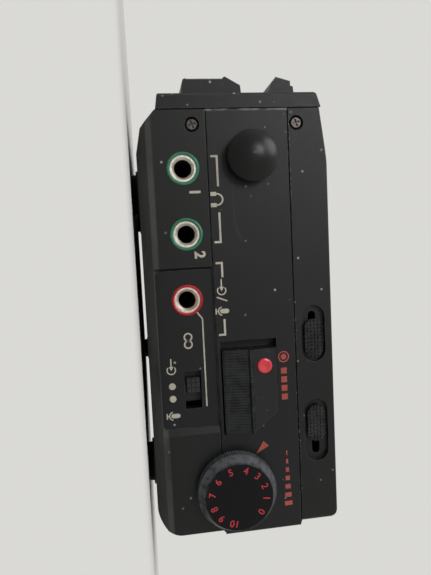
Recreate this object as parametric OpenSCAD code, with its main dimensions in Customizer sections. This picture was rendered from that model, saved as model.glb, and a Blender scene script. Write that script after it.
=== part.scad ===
// Portable stereo cassette recorder with piano keys, a level dial and sockets in its right end.
// X runs along the case (the socket end is +X), -Y is the key side, +Z is the lid side.

/* [Case] */
// Length of the case between its two end faces
case_l = 172; // [171:0.5:176]
// Depth of the case from the back of the front panel to the back of the shells
case_d = 89.6; // [89.2:0.1:90.2]
// Height of the case without its feet
case_h = 39.7; // [39.5:0.1:40.1]
// Height of the lower shell
lower_h = 14.1; // [14:0.1:14.3]
// Height of the middle frame between the two shells
band_h = 17.4; // [17.2:0.1:17.6]
// How far the middle frame stands out behind the shells
band_out = 0.9; // [0.6:0.1:1.2]
// Wall thickness of the shells and the frame
wall = 2; // [1.8:0.1:2.2]
// Chamfer under the two ends of the case
end_chamfer = 2; // [1:0.1:2.2]
// Rounding of the lower back edge
back_r = 6.2; // [5:0.1:6.4]
// Height of the rubber feet below the case
foot_h = 1.5; // [1.2:0.1:2]

/* [Front keys] */
// Thickness of the front panel
panel_t = 3.1; // [2.8:0.1:3.4]
// How far the key caps stand out of the front panel
key_out = 4.1; // [3.8:0.1:4.3]
// Height of the key caps
key_h = 12.7; // [12:0.1:13]
// Distance from one key to the next
key_pitch = 26; // [25:0.5:26]
// Gap between neighbouring keys
key_gap = 0.6; // [0.5:0.1:1]
// How far a key can be pressed
key_travel = 2.2; // [1.5:0.1:2.4]
// Number of grip grooves along each key cap
key_grooves = 15; // [10:1:18]

/* [Right end] */
// Bore of the standard 3.5 mm plug sockets
socket_bore_d = 3.6; // [3.55:0.01:3.6]
// Outer diameter of the coloured socket rings
ring_d = 6.7; // [6.2:0.1:7]
// Diameter of the level dial
dial_d = 16.9; // [16:0.1:17.2]
// Height of the level dial above the end face
dial_h = 4.5; // [4:0.1:5]
// Number of grip ridges round the level dial
dial_ridges = 96; // [72:2:108]
// Diameter of the strap stud heads
stud_d = 10.4; // [9:0.1:11]

/* [Cassette deck] */
// Distance between the two reel spindles of a compact cassette
reel_pitch = 42.5; // [42.5:0.1:42.5]
// Length of the cassette lid
lid_l = 118; // [114:1:118]
// Diameter of the flywheel
flywheel_d = 19; // [17:0.5:19.5]

/* [Hidden] */

$fn = 48;
eps = 0.01;

// Fits: a shaft in its bearing, and two parts that slide past each other
run_gap = 0.05;
slide_gap = 0.3;

// Shadow line along the seams of the case: its width and its depth
seam_w = 0.3;
seam_d = 0.4;

// Case planes
end_x = case_l / 2;
total_d = key_out + panel_t + case_d + band_out;
key_y = -total_d / 2;
panel_y = key_y + key_out;
front_y = panel_y + panel_t;
back_y = front_y + case_d;
base_z = foot_h;
seam_low = base_z + lower_h;
seam_high = seam_low + band_h;
top_z = base_z + case_h;
roof_z = top_z - wall;

// Cassette deck: its centre in X, the plate, the tape path and the lid
deck_x = -15;
deck_z = 25.2;
deck_t = 1.2;
spindle_y = 0;
tape_y = -29.4;
lid_x0 = deck_x - lid_l / 2;
lid_x1 = deck_x + lid_l / 2;
lid_front = -38.5;
hinge_y = 33.2;
hinge_r = 2.3;
hinge_z = top_z - hinge_r;
pin_r = 0.8;

// Capstan, pinch roller and head positions on the deck
capstan_x = deck_x + 33.5;
capstan_r = 1;
roller_r = 4;
roller_rest_y = tape_y - capstan_r - roller_r - 2.6;
arm_x = deck_x + 46;
arm_y = -38.2;
bridge_travel = 3.3;

// Motor and belt
motor_x = -58;
motor_y = -22;
belt_z = 8.5;
pulley_r = 3;

// Battery bay for two stacks of AA cells, and its door
bay_x0 = -70;
bay_x1 = 35;
bay_y0 = 30.6;
bay_y1 = back_y - wall - 0.5;
bay_z1 = 32.6;
door_x0 = bay_x0 - 1;
door_x1 = bay_x1 + 1;
door_z1 = 31.2;
door_axis_z = 8;
door_axis_y = back_y - 1;
door_r = band_out + 1;
door_stud_r = 0.6;

// Keys on the front: the lowest edge of the caps and the right edge of the row
key_z = 11.4;
key_right = 83;
key_left = key_right - 5 * key_pitch;
eject_z0 = 29.5;
eject_z1 = 35.4;
eject_x0 = 59;
eject_x1 = 83;
eject_travel = 2;

// Controls and sockets in the right end
headphone_y = [front_y + 11.9, front_y + 25.2];
line_in_y = front_y + 38.8;
socket_z = 10.7;
socket_depth = 14;
line_panel_y0 = front_y + 32.5;
line_panel_y1 = front_y + 66.1;
line_panel_z0 = 3.7;
line_panel_drop = 0.7;
input_y = front_y + 55.4;
input_z = 9.1;
record_y0 = front_y + 49.8;
record_y1 = front_y + 67.7;
record_z0 = 16.8;
record_z1 = 28.3;
record_ridge_z = 22.6;
record_slant = 0.75;
record_travel = 1.5;
dial_y = front_y + 80;
dial_z = 18.4;
stud_y = front_y + 10;
stud_z = 24.8;
switch_z = 36.9;
switch_w = 5.2;
tape_switch_y = [front_y + 41.5, front_y + 53.8];
speed_switch_y = [front_y + 62, front_y + 76];
end_screw_y = front_y + 3.2;
end_screw_z = [12.95, 34.7];

// Small parts in the roof and the back
counter_x = 56;
counter_y = -8;
counter_r = 6;
counter_axis_z = 33.8;
counter_pitch = 4;
reset_x = 71;
meter_x0 = 51;
meter_x1 = 79;
meter_y = -24;
line_out_x = 50;
dc_x = 64;
back_socket_z = 24;
foot_x = 70;
foot_y = [-26.4, 37.2];
foot_r = 4.5;
post_spots = [[-70, -36], [41, -24], [-70, 26], [41, 26]];
board_z = seam_low + 1.6;
board_spots = [[50, -28], [50, 22], [74, 22]];

// ---------------------------------------------------------------- shared shapes

module along_x(x0, x1) {
    translate([x0, 0, 0]) rotate([90, 0, 90]) linear_extrude(x1 - x0) children();
}

module along_y(y0, y1) {
    translate([0, y1, 0]) rotate([90, 0, 0]) linear_extrude(y1 - y0) children();
}

module along_z(z0, z1) {
    translate([0, 0, z0]) linear_extrude(z1 - z0) children();
}

module box(low, high) {
    translate(low) cube(high - low);
}

module rod_x(r, x0, x1, y, z) {
    translate([x0, y, z]) rotate([0, 90, 0]) cylinder(r = r, h = x1 - x0);
}

module rod_z(r, x, y, z0, z1) {
    translate([x, y, z0]) cylinder(r = r, h = z1 - z0);
}

// Waste outside a quarter circle, for rounding the corner of a flat outline.
// The corner sits at the origin and the outline lies towards (-sx, -sy).
module corner_waste(r, sx, sy) {
    if (r > 0.05)
        mirror([sx < 0 ? 1 : 0, 0]) mirror([0, sy < 0 ? 1 : 0])
            translate([-r, -r]) difference() {
                square(r + 1);
                circle(r);
            }
}

module round_rect(x0, y0, x1, y1, r) {
    difference() {
        translate([x0, y0]) square([x1 - x0, y1 - y0]);
        translate([x0, y0]) corner_waste(r, -1, -1);
        translate([x1, y0]) corner_waste(r, 1, -1);
        translate([x0, y1]) corner_waste(r, -1, 1);
        translate([x1, y1]) corner_waste(r, 1, 1);
    }
}

// Slot outline with round ends, running along the first axis
module slot(u0, u1, v, w) {
    translate([u0 + w / 2, v - w / 2]) square([u1 - u0 - w, w]);
    for (u = [u0 + w / 2, u1 - w / 2]) translate([u, v]) circle(d = w);
}

// ---------------------------------------------------------------- case

// Points of the lower front edge as [distance from the front, height over the base]
nose = [[0, 4.2], [3.6, 1], [8.5, 0]];
roof_slope_d = 12;
roof_slope_h = 1.5;
roof_back_r = 2.5;

// Case seen from the end, drawn g smaller all round. The nose goes deeper inside, so that
// its wall is no thicker than the rest.
module end_outline(g) {
    y0 = front_y + g;
    y1 = back_y - g;
    z0 = base_z + g;
    z1 = top_z - g;
    difference() {
        polygon(concat([for (p = nose) [y0 + p[0], z0 + max(0, p[1] - 0.4 * g)]],
                       [[y1, z0], [y1, z1], [y0 + roof_slope_d, z1], [y0, z1 - roof_slope_h]]));
        translate([y1, z0]) corner_waste(back_r - g, 1, -1);
        translate([y1, z1]) corner_waste(roof_back_r - g, 1, 1);
    }
}

// Whole case as a solid drawn g smaller all round. Its ends have a chamfer below,
// and their back and top edges are rounded.
module case_block(g, chamfer, end_back_r, end_top_r) {
    x = end_x - g;
    z0 = base_z + g;
    intersection() {
        along_x(-x, x) end_outline(g);
        along_y(front_y - 1, back_y + 1) difference() {
            polygon([[-x + chamfer, z0], [x - chamfer, z0], [x, z0 + chamfer], [x, top_z - g],
                     [-x, top_z - g], [-x, z0 + chamfer]]);
            translate([-x, top_z - g]) corner_waste(end_top_r, -1, 1);
            translate([x, top_z - g]) corner_waste(end_top_r, 1, 1);
        }
        along_z(base_z - 1, top_z + 1) difference() {
            translate([-x, front_y - 1]) square([2 * x, case_d + 1 - g]);
            translate([-x, back_y - g]) corner_waste(end_back_r, -1, 1);
            translate([x, back_y - g]) corner_waste(end_back_r, 1, 1);
        }
    }
}

// Shadow line between the front panel and the end of a shell
module front_seam(side) {
    box([side * end_x - seam_d, front_y - 1, base_z], [side * end_x + seam_d, front_y + seam_w, top_z + 1]);
}

// Room for an end screw: head recess outside, clearance hole through the wall
module end_screw_hole(side, z) {
    translate([side * end_x, end_screw_y, z]) rotate([0, side * 90, 0]) {
        translate([0, 0, -0.8]) cylinder(r = 1.5, h = 2);
        translate([0, 0, -9]) cylinder(r = 1, h = 9);
    }
}

module bottom_shell() {
    color("#1c1c1e") difference() {
        union() {
            difference() {
                case_block(0, end_chamfer, 0.6, 0.6);
                box([-end_x, front_y - 1, seam_low], [end_x, back_y + 1, top_z + 1]);
                difference() {
                    case_block(wall, 0.6, 0.6, 0.6);
                    box([end_x - 7, front_y, end_screw_z[0] - 2], [end_x, -36.6, top_z]);
                    box([-end_x, front_y, end_screw_z[0] - 2], [-end_x + 7, -36.6, top_z]);
                }
            }
            for (p = post_spots) rod_z(2.6, p[0], p[1], base_z + 1.7, deck_z - deck_t);
            for (x = [-foot_x, foot_x]) for (y = foot_y) rod_z(foot_r + 0.8, x, y, base_z - 0.4, base_z + 1);
            for (p = board_spots) rod_z(2.2, p[0], p[1], base_z + 1, board_z);
            rod_z(3, capstan_x, tape_y, base_z + 1, 5.6);
            for (x = [-40, -5]) box([x, -34, base_z + 1], [x + 1.4, bay_y0 - 2, base_z + 4]);
            for (x = [52, 66]) box([x, -34, base_z + 1], [x + 1.4, 44, base_z + 3.4]);
            // ribs beside the door's hinge, which close the ends of the tray's relief
            for (x = [bay_x0 - 2.9, bay_x1 + 1.3])
                box([x, bay_y1 - 3, base_z + 1], [x + 1.6, back_y - wall + 0.5, door_axis_z + door_r + 1.6]);
        }
        // the bottom of the key opening
        box([key_left - 1, front_y - 1, 9.6], [key_right + 0.6, front_y + wall + eps, seam_low + 1]);
        // square foot of the battery bay, and the opening behind its door with sockets for its studs
        box([bay_x0 - 1, bay_y0, base_z + wall], [bay_x1 + 1, bay_y1, seam_low + 1]);
        box([door_x0 - slide_gap, bay_y1 - 1, door_axis_z - door_r - slide_gap],
            [door_x1 + slide_gap, back_y + 1, seam_low + 1]);
        rod_x(door_stud_r + run_gap, door_x0 - 1.9, door_x1 + 1.9, door_axis_y, door_axis_z);
        // headphone sockets
        for (y = headphone_y) rod_x(ring_d / 2, end_x - wall - 1, end_x + 1, y, socket_z);
        // opening for the line-in panel, with a ramp at both of its ends
        along_x(end_x - 3, end_x + 1) line_panel_outline(seam_low + 1);
        along_z(line_panel_z0, seam_low + 1)
            polygon([[end_x - line_panel_drop, line_panel_y0], [end_x, line_panel_y0 - 0.5],
                     [end_x + 1, line_panel_y0 - 0.5], [end_x + 1, line_panel_y1 + 1.3],
                     [end_x, line_panel_y1 + 1.3], [end_x - line_panel_drop, line_panel_y1]]);
        for (side = [-1, 1]) {
            end_screw_hole(side, end_screw_z[0]);
            front_seam(side);
        }
        for (x = [-foot_x, foot_x]) for (y = foot_y) rod_z(foot_r, x, y, base_z - 1, base_z + 0.5);
        for (p = post_spots) {
            rod_z(1.7, p[0], p[1], base_z - 1, base_z + 2.1);
            rod_z(1.05, p[0], p[1], base_z, deck_z);
        }
        // bearing under the capstan
        rod_z(capstan_r + run_gap, capstan_x, tape_y, base_z + 1.6, 6);
    }
}

// Slanted back corner of the record key, moved out by a gap: its Y at the height z
function record_slant_y(z, gap) =
    record_y1 + gap * norm([1, record_slant]) - record_slant * (z - record_ridge_z);

module middle_frame() {
    x = end_x - wall;
    hole_y0 = record_y0 - record_travel - slide_gap;
    hole_z0 = record_z0 - slide_gap;
    hole_z1 = record_z1 + slide_gap;
    color("#1f1f21") difference() {
        along_z(seam_low, seam_high) difference() {
            round_rect(-end_x, front_y, end_x, back_y + band_out, 0.6);
            translate([-x, front_y - 1]) square([2 * x, case_d - wall + 1]);
        }
        // shadow lines along the two seams
        for (z = [seam_low - 1, seam_high - seam_w]) along_z(z, z + 1 + seam_w) difference() {
            translate([-case_l, -case_d]) square([2 * case_l, 2 * case_d]);
            round_rect(-end_x + seam_d, front_y - 2, end_x - seam_d, back_y + band_out - seam_d, 0.4);
        }
        // record key window
        along_x(x - 1, end_x + 1)
            polygon([[hole_y0, hole_z0], [record_slant_y(record_ridge_z, slide_gap), hole_z0],
                     [record_slant_y(record_ridge_z, slide_gap), record_ridge_z],
                     [record_slant_y(hole_z1, slide_gap), hole_z1], [hole_y0, hole_z1]]);
        // dial shaft and strap studs
        rod_x(2.2, x - 1, end_x + 1, dial_y, dial_z);
        for (s = [-1, 1]) rod_x(1.6, s * end_x - 3, s * end_x + 3, stud_y, stud_z);
        // battery door opening
        box([door_x0 - slide_gap, back_y - wall - 1, seam_low - 1],
            [door_x1 + slide_gap, back_y + 2, door_z1 + slide_gap]);
        // sockets in the back
        translate([line_out_x, back_y + 2, back_socket_z]) rotate([90, 0, 0])
            cylinder(r = 2.7, h = 6);
        translate([dc_x, back_y + 2, back_socket_z]) rotate([90, 0, 0]) cylinder(r = 4, h = 6);
    }
}

// Recess and through slot of an end slide switch, in the wall of the top shell
module switch_recess(span, neck_span) {
    along_x(end_x - 0.9, end_x + 1) slot(span[0], span[1], switch_z, switch_w);
    along_x(end_x - 4, end_x) slot(neck_span[0], neck_span[1], switch_z, 1.7);
}

module top_shell() {
    color("#202022") difference() {
        union() {
            difference() {
                case_block(0, 0, 1, 0.5);
                box([-end_x, front_y - 1, 0], [end_x, back_y + 1, seam_high]);
                difference() {
                    case_block(wall, 0, 0.4, 0.4);
                    box([-end_x, front_y, roof_z], [end_x, back_y, top_z]);
                    box([end_x - 7, front_y, 0], [end_x, -36.6, top_z]);
                    box([-end_x, front_y, 0], [-end_x + 7, -36.6, top_z]);
                }
            }
            // rim that stiffens the lid opening
            box([lid_x1 + slide_gap + 1.2, -36, seam_high + 1],
                [lid_x1 + slide_gap + 2.6, 29, roof_z + eps]);
        }
        // lid opening
        box([lid_x0 - slide_gap, lid_front - slide_gap, seam_high - 1],
            [lid_x1 + slide_gap, hinge_y + hinge_r + slide_gap, top_z + 1]);
        for (x = [lid_x0 - 2, lid_x1]) rod_x(pin_r, x, x + 2, hinge_y, hinge_z);
        // room for the heads behind the front panel
        box([lid_x0, front_y - 1, seam_high - 1], [lid_x1, lid_front, roof_z - roof_slope_h - 0.6]);
        // meter window seat, counter opening and reset hole
        along_z(top_z - 1.2, top_z + 1) round_rect(meter_x0, meter_y - 3.4, meter_x1, meter_y + 3.4, 0.8);
        for (i = [0:4]) rod_z(1.35, meter_x0 + 4 + 5 * i, meter_y, roof_z - 1, top_z);
        box([counter_x - 6.6, counter_y - 3.6, roof_z - 1],
            [counter_x + 6.6, counter_y + 3.6, top_z + 1]);
        rod_z(2.8 + slide_gap, reset_x, counter_y, roof_z - 1, top_z + 1);
        switch_recess(tape_switch_y, [tape_switch_y[0] + 1.4, tape_switch_y[1] - 1.4]);
        switch_recess(speed_switch_y, [speed_switch_y[0] + 1.4, speed_switch_y[1] - 1.4]);
        for (side = [-1, 1]) {
            end_screw_hole(side, end_screw_z[1]);
            front_seam(side);
        }
        // room for the pressed eject button, and for the flange behind it
        box([eject_x0 - slide_gap, front_y - 1, seam_high - 1],
            [eject_x1 + slide_gap, front_y + eject_travel - 0.3, eject_z1 + slide_gap]);
        box([eject_x0 - slide_gap, front_y - 1, seam_high - 1],
            [end_x - 7 - slide_gap, front_y + 4, eject_z1 + 0.8 + slide_gap]);
    }
}

module front_panel() {
    low = base_z + 4.3;
    high = top_z - 1.1;
    color("#18181a") difference() {
        along_x(-end_x, end_x)
            polygon([[panel_y, low + 0.7], [panel_y + 0.3, low + 0.4], [front_y, low],
                     [front_y, high], [panel_y + 0.3, high - 0.9], [panel_y, high - 1.2]]);
        // opening for the five keys, and for the eject button
        box([key_left - slide_gap, panel_y - 1, key_z - slide_gap],
            [key_right + slide_gap, front_y + 1, key_z + key_h + slide_gap]);
        box([eject_x0 - slide_gap, panel_y - 1, eject_z0 - slide_gap],
            [eject_x1 + slide_gap, front_y + 1, eject_z1 + slide_gap]);
        // bright chamfers at the two ends of the panel
        for (s = [-1, 1]) translate([s * end_x, panel_y, low - 2]) rotate([0, 0, 45])
            translate([-0.4, -0.4, 0]) cube([0.8, 0.8, case_h]);
    }
}

// Outline of the line-in panel, with its two lower corners rounded
module line_panel_outline(z1) {
    difference() {
        translate([line_panel_y0, line_panel_z0])
            square([line_panel_y1 - line_panel_y0, z1 - line_panel_z0]);
        translate([line_panel_y0, line_panel_z0]) corner_waste(1.2, -1, -1);
        translate([line_panel_y1, line_panel_z0]) corner_waste(1.2, 1, -1);
    }
}

module line_in_panel() {
    color("#1a1a1c") difference() {
        along_x(end_x - 2.5, end_x - line_panel_drop) line_panel_outline(seam_low);
        rod_x(ring_d / 2 - 0.1, end_x - 4, end_x + 1, line_in_y, socket_z - 0.5);
        box([end_x - 4, input_y - 1.5, input_z - 0.4], [end_x, input_y + 6.5, input_z + 3.1]);
    }
}

module battery_tray() {
    color("#2a2a2a") difference() {
        box([bay_x0 - 1, bay_y0 - 1, base_z + wall], [bay_x1 + 1, bay_y1, seam_high]);
        box([bay_x0, bay_y0, base_z + wall - 1], [bay_x1, bay_y1 + 1, bay_z1]);
        // room for the lower edge of the open door
        box([bay_x0 - 2, door_axis_y - door_r - 0.6, base_z + wall - 1],
            [bay_x1 + 2, bay_y1 + 1, door_axis_z + door_r + 0.6]);
    }
}

// Sprung leaf that presses on the end of a cell, bowed into the bay
module contact_leaf(x, side, z0, z1) {
    bow_r = 5.8;
    bow_h = 1.6;
    along_z(z0, z1) intersection() {
        translate([x + side * (bow_h - bow_r), (bay_y0 + bay_y1) / 2]) difference() {
            circle(bow_r);
            circle(bow_r - 0.4);
        }
        translate([side > 0 ? x : x - 3, bay_y0]) square([3, bay_y1 - bay_y0]);
    }
}

module battery_contacts() {
    color("#b9bcc0") for (z = [6.5, 21]) {
        contact_leaf(bay_x0, 1, z, z + 8.5);
        contact_leaf(bay_x1, -1, z, z + 8.5);
    }
}

module battery_door() {
    y_in = back_y - 1.2;
    y_out = back_y + band_out;
    color("#1d1d1f") difference() {
        union() {
            box([door_x0, y_in, door_axis_z], [door_x1, y_out, door_z1]);
            along_x(door_x0, door_x1) intersection() {
                translate([door_axis_y, door_axis_z]) circle(door_r);
                translate([y_in, door_axis_z - door_r - 1]) square([4, door_r + 1.5]);
            }
            // hinge studs in the shell's jambs, on a rib inside the lower edge
            for (x = [door_x0, door_x1 - 4]) rod_x(1, x, x + 4, door_axis_y, door_axis_z);
            rod_x(door_stud_r, door_x0 - 1.6, door_x1 + 1.6, door_axis_y, door_axis_z);
        }
        // raised arrow field and finger grooves
        for (i = [0:4]) box([-27, y_out - 0.35, 24 + 1.3 * i], [-7, y_out + 1, 24.6 + 1.3 * i]);
    }
}

module rubber_feet() {
    color("#111111") for (x = [-foot_x, foot_x]) for (y = foot_y)
        translate([x, y, 0]) rotate_extrude()
            polygon([[0, 0], [foot_r - 0.25, 0], [foot_r - 0.1, 0.15], [foot_r, base_z - 0.4],
                     [foot_r, base_z + 0.5], [0, base_z + 0.5]]);
}

// Cross-head screw standing along +Z, with the top of its head at z = 0
module screw(head_r, shank_r, length) {
    difference() {
        rotate_extrude() polygon([[0, 0], [head_r - 0.3, 0], [head_r, -0.35], [head_r, -0.8],
                                  [shank_r, -0.8], [shank_r, -length], [0, -length]]);
        for (a = [0, 90]) rotate(a) translate([-head_r * 0.62, -0.16, -0.45])
            cube([head_r * 1.24, 0.32, 1]);
    }
}

module end_screws() {
    color("#26262a") for (side = [-1, 1]) for (z = end_screw_z)
        translate([side * end_x, end_screw_y, z]) rotate([0, side * 90, 0]) rotate(20)
            screw(1.3, 1, 6);
}

module base_screws() {
    color("#8a8c90") for (p = post_spots)
        translate([p[0], p[1], base_z + 1.3]) mirror([0, 0, 1]) screw(1.6, 1.05, 9);
}

// Mushroom stud for the carrying strap, standing along +Z from the end face
module strap_stud() {
    r = stud_d / 2;
    dome_r = 7.5;
    rotate_extrude() {
        translate([0, -4]) square([1.6, 5]);
        square([r - 2, 2]);
        polygon([[0, 1.4], [r - 0.4, 1.4], [r, 1.9], [r, 2.4], [0, 2.4]]);
        intersection() {
            translate([0, dial_h - dome_r]) circle(dome_r);
            translate([0, 2.3]) square([r, 3]);
        }
    }
}

module strap_stud_right() {
    color("#0f0f10") translate([end_x, stud_y, stud_z]) rotate([0, 90, 0]) strap_stud();
}

module strap_stud_left() {
    color("#0f0f10") translate([-end_x, stud_y, stud_z]) rotate([0, -90, 0]) strap_stud();
}

// Socket for a 3.5 mm plug, opening along +Z with its mouth at z = 0
module plug_socket() {
    r = 2.7;
    difference() {
        union() {
            translate([0, 0, -socket_depth]) cylinder(r = r, h = socket_depth);
            translate([-3.5, -3.5, -socket_depth - 1]) cube([7, 7, socket_depth - 2.6]);
        }
        translate([0, 0, -socket_depth]) cylinder(d = socket_bore_d, h = socket_depth + 1);
        rotate_extrude() polygon([[socket_bore_d / 2 - eps, -0.5], [socket_bore_d / 2 + 0.5, 0],
                                  [socket_bore_d / 2 + 0.5, 1], [0, 1], [0, -0.5]]);
    }
}

module at_end_socket(y, z, drop) {
    translate([end_x - drop, y, z]) rotate([0, 90, 0]) children();
}

module headphone_socket_1() {
    color("#c3b79c") at_end_socket(headphone_y[0], socket_z, 0.1) plug_socket();
}

module headphone_socket_2() {
    color("#c3b79c") at_end_socket(headphone_y[1], socket_z, 0.1) plug_socket();
}

module line_in_socket() {
    color("#c3b79c") at_end_socket(line_in_y, socket_z - 0.5, line_panel_drop + 0.1) plug_socket();
}

module line_out_socket() {
    color("#c3b79c") translate([line_out_x, back_y + band_out - 0.1, back_socket_z])
        rotate([-90, 0, 0]) plug_socket();
}

// Coloured collar round a socket, standing along +Z
module socket_ring(r) {
    rotate_extrude() polygon([[2.7, -2.4], [r, -2.4], [r, 0.1], [r - 0.25, 0.35],
                              [2.95, 0.35], [2.7, 0.1]]);
}

module headphone_rings() {
    color("#2f8f62") for (y = headphone_y) at_end_socket(y, socket_z, 0) socket_ring(ring_d / 2);
}

module line_in_ring() {
    color("#c01830") at_end_socket(line_in_y, socket_z - 0.5, line_panel_drop)
        socket_ring(ring_d / 2 - 0.1);
}

module dc_inlet() {
    color("#161618") translate([dc_x, back_y + band_out - 0.1, back_socket_z]) rotate([-90, 0, 0]) {
        difference() {
            union() {
                translate([0, 0, -3]) cylinder(r = 4, h = 3);
                translate([-4.5, -4.5, -12]) cube([9, 9, 9.05]);
            }
            translate([0, 0, -10]) cylinder(r = 2.8, h = 11);
        }
        translate([0, 0, -10.5]) cylinder(r = 1, h = 9.5);
    }
}

// ---------------------------------------------------------------- controls in the right end

module input_switch() {
    color("#232326") {
        box([end_x - 3.3, input_y, input_z], [end_x - 1.3, input_y + 3.2, input_z + 2.8]);
        // grip pads, three by three
        for (i = [0:2]) for (j = [0:2])
            box([end_x - 1.4, input_y + 0.15 + 1.05 * i, input_z + 0.1 + 0.95 * j],
                [end_x - 0.9, input_y + 0.95 + 1.05 * i, input_z + 0.8 + 0.95 * j]);
        box([end_x - 4.2, input_y - 2.2, input_z - 1.1],
            [end_x - 2.5 - slide_gap, input_y + 5.4, input_z + 4.1]);
    }
}

// Groove of a cross-cut grip, seen along its length, cut into a face at height h
module grip_groove(h) {
    polygon([[-0.3, h], [-0.3, h + 1], [0.3, h + 1], [0.3, h], [0.05, h - 0.35], [-0.05, h - 0.35]]);
}

// Slide knob in an end recess: cap with a cross-cut grip, neck through the wall, plate behind it
module end_slider(y0, y1) {
    w = switch_w - 1.4;
    pitch = 0.76;
    cap_x = end_x + 0.3;
    across = round((y1 - y0) / pitch);
    difference() {
        along_x(end_x - 0.6, cap_x) slot(y0, y1, switch_z, w);
        translate([0, (y0 + y1) / 2, switch_z]) {
            for (i = [0:across - 2]) translate([0, pitch * (i - across / 2 + 1), -w])
                linear_extrude(2 * w) rotate(-90) grip_groove(cap_x);
            for (i = [-2:2]) translate([0, y0 - y1, pitch * i]) rotate([-90, 0, 0])
                linear_extrude(2 * (y1 - y0)) rotate(-90) grip_groove(cap_x);
        }
    }
    box([end_x - 3, y0 + 1.7, switch_z - 0.55], [end_x - 0.5, y1 - 1.7, switch_z + 0.55]);
    box([end_x - 3.6, y0 + 0.5, switch_z - 1.6], [end_x - wall - slide_gap, y1 - 0.5, switch_z + 1.6]);
}

module tape_switch() {
    color("#242427") end_slider(tape_switch_y[0] + 3, tape_switch_y[1] - 0.9);
}

module speed_switch() {
    color("#242427") end_slider(speed_switch_y[0] + 1.5, speed_switch_y[0] + 9.5);
}

record_dot_y = record_y0 + 3.6;
record_dot_z = 25.5;
record_dot_r = 1.6;

// Height of the record key over the end face, from its low edge to its high edge
module record_outline(sink) {
    x = end_x - sink;
    polygon([[end_x - 2.6, record_z0], [x + 0.5, record_z0], [x + 0.8, record_z0 + 0.4],
             [x + 1.6, record_ridge_z - 0.5], [x + 2.2, record_ridge_z - 0.2],
             [x + 2.2, record_ridge_z + 0.2], [x + 1.7, record_ridge_z + 0.5],
             [x + 1.5, record_z1 - 0.4], [x + 1.1, record_z1], [end_x - 2.6, record_z1]]);
}

module record_key() {
    grooves = 29;
    pitch = (record_y1 - record_y0 - 0.8) / grooves;
    color("#212124") difference() {
        union() {
            // along_y draws its outline as (x, z)
            along_y(record_y0, record_y1) record_outline(0);
            box([end_x - 3.6, record_y0 - 2.6, record_z0 - 1.1],
                [end_x - wall - slide_gap, record_y1 + 1.2, record_z1 + 1.2]);
        }
        // corner cut away towards the dial
        along_x(end_x - wall, end_x + 4)
            polygon([[record_slant_y(record_z1 + 1, 0), record_z1 + 1], [record_y1 + 1, record_z1 + 1],
                     [record_y1 + 1, record_ridge_z], [record_y1, record_ridge_z]]);
        // grip grooves across the low half and the ridge
        for (i = [0:grooves - 1]) along_y(record_y0 + 0.5 + pitch * i, record_y0 + 0.75 + pitch * i)
            difference() {
                translate([end_x, record_z0 - 1]) square([4, record_ridge_z + 1.3 - record_z0]);
                record_outline(0.2);
            }
        rod_x(record_dot_r, end_x + 1, end_x + 4, record_dot_y, record_dot_z);
    }
}

module record_dot() {
    r = record_dot_r;
    color("#d8324a") translate([end_x + 1, record_dot_y, record_dot_z]) rotate([0, 90, 0])
        rotate_extrude() polygon([[0, 0], [r, 0], [r, 0.8], [r - 0.1, 1], [r - 0.35, 1.1],
                                  [r - 0.7, 1.05], [0, 0.9]]);
}

// Outline of a disc with pointed ridges round its edge
module ridged_outline(r, depth, ridges) {
    step = 180 / ridges;
    polygon([for (i = [0:2 * ridges - 1]) (r - depth * (i % 2)) * [cos(i * step), sin(i * step)]]);
}

module level_dial() {
    r = dial_d / 2;
    face_r = r - 1.2;
    color("#18181a") translate([end_x, dial_y, dial_z]) rotate([0, 90, 0]) difference() {
        union() {
            translate([0, 0, 0.3]) linear_extrude(2.3) ridged_outline(r, 0.18, dial_ridges);
            rotate_extrude() polygon([[0, 1], [r - 0.3, 1], [r - 0.3, 2.75], [face_r, dial_h - 0.25],
                                      [face_r, dial_h - 0.1], [0, dial_h - 0.1]]);
            translate([0, 0, 0.3]) cylinder(r = face_r - 0.1, h = dial_h - 0.3);
        }
        translate([0, 0, -1]) cylinder(r = 1.5, h = 4);
    }
}

module level_shaft() {
    color("#a9abb0") rod_x(1.5, end_x - 9, end_x + 3, dial_y, dial_z);
}

module level_control() {
    x = end_x - wall;
    color("#3a3c40") difference() {
        union() {
            rod_x(5.2, x - 7.6, x, dial_y, dial_z);
            box([x - 7, dial_y - 5.2, dial_z - 8], [x - 5.6, dial_y + 5.2, dial_z]);
            rod_x(2.2, x - 1, end_x, dial_y, dial_z);
        }
        rod_x(1.5 + run_gap, x - 7.2, end_x + 1, dial_y, dial_z);
    }
}

// ---------------------------------------------------------------- front keys

// Key cap seen from the end, with grip grooves across its pressing face
module key_outline() {
    z0 = key_z;
    z1 = key_z + key_h;
    grip0 = z0 + 1.1;
    grip1 = z0 + 8.8;
    step = (grip1 - grip0) / (2 * key_grooves);
    face = key_y + 0.35;
    polygon(concat(
        [[front_y - 0.6, z1], [front_y - 0.6, z0], [panel_y, z0], [face + 0.6, z0 + 0.35],
         [face + 0.2, z0 + 0.5], [face, z0 + 0.85]],
        [for (i = [0:2 * key_grooves]) [face + 0.2 * (i % 2), grip0 + i * step]],
        [[key_y, grip1 + 0.4], [key_y + 0.05, grip1 + 0.6], [key_y + 1.8, z1 - 0.2], [panel_y, z1]]));
}

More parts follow.
